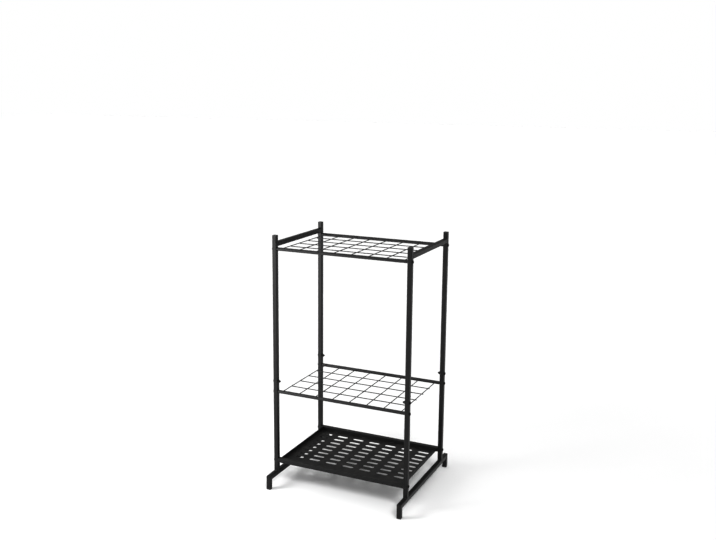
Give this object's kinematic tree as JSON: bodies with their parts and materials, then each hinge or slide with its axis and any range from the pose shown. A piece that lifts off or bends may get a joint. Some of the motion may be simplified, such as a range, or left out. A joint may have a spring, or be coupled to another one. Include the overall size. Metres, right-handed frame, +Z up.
{
  "type": "freestanding garden tool rack",
  "caption": "Freestanding rack for long-handled garden tools: square posts on foot bars, wire grids that keep the handles apart, and a slotted tray under them.",
  "frame": {"origin": "on the floor, under the middle of the rack", "axes": "+X to the rack's right as seen from its front, +Y to its rear, +Z up along the posts"},
  "size_m": [0.5386, 0.482, 0.9364],
  "materials": {
    "frame_coat": "satin black powder coat on steel tube",
    "grid_coat": "satin black powder coat on steel rod and wire",
    "tray_coat": "satin black powder coat on steel sheet and tube",
    "fasteners": "black coated steel",
    "inserts": "plain zinc plated",
    "bare_steel": "plain steel tube",
    "plastic_plugs": "fine moulded black"
  },
  "bodies": {
    "root": {"foot_bar_left": "frame_coat", "foot_bar_right": "frame_coat", "foot_cap_front_left": "plastic_plugs", "foot_cap_front_right": "plastic_plugs", "foot_cap_rear_left": "plastic_plugs", "foot_cap_rear_right": "plastic_plugs", "foot_leg_front_left": "frame_coat", "foot_leg_front_right": "frame_coat", "foot_leg_rear_left": "frame_coat", "foot_leg_rear_right": "frame_coat", "joint_bolts": "fasteners", "joint_nuts": "fasteners", "lower_post_front_left": "frame_coat", "lower_post_front_right": "frame_coat", "lower_post_rear_left": "frame_coat", "lower_post_rear_right": "frame_coat", "mid_cross_wires": "grid_coat", "mid_grid_bolts": "fasteners", "mid_long_wires": "grid_coat", "mid_rail_front": "grid_coat", "mid_rail_inserts": "inserts", "mid_rail_rear": "grid_coat", "post_plug_front_left": "plastic_plugs", "post_plug_front_right": "plastic_plugs", "post_plug_rear_left": "plastic_plugs", "post_plug_rear_right": "plastic_plugs", "post_sleeve_front_left": "bare_steel", "post_sleeve_front_right": "bare_steel", "post_sleeve_rear_left": "bare_steel", "post_sleeve_rear_right": "bare_steel", "top_bar_left": "frame_coat", "top_bar_right": "frame_coat", "top_cross_wires": "grid_coat", "top_grid_bolts": "fasteners", "top_long_wires": "grid_coat", "top_rail_front": "grid_coat", "top_rail_inserts": "inserts", "top_rail_rear": "grid_coat", "tray_bolts": "fasteners", "tray_edge_left": "tray_coat", "tray_edge_right": "tray_coat", "tray_floor": "tray_coat", "tray_rail_front": "tray_coat", "tray_rail_inserts": "inserts", "tray_rail_rear": "tray_coat", "upper_post_front_left": "frame_coat", "upper_post_front_right": "frame_coat", "upper_post_rear_left": "frame_coat", "upper_post_rear_right": "frame_coat"}
  },
  "joints": []
}
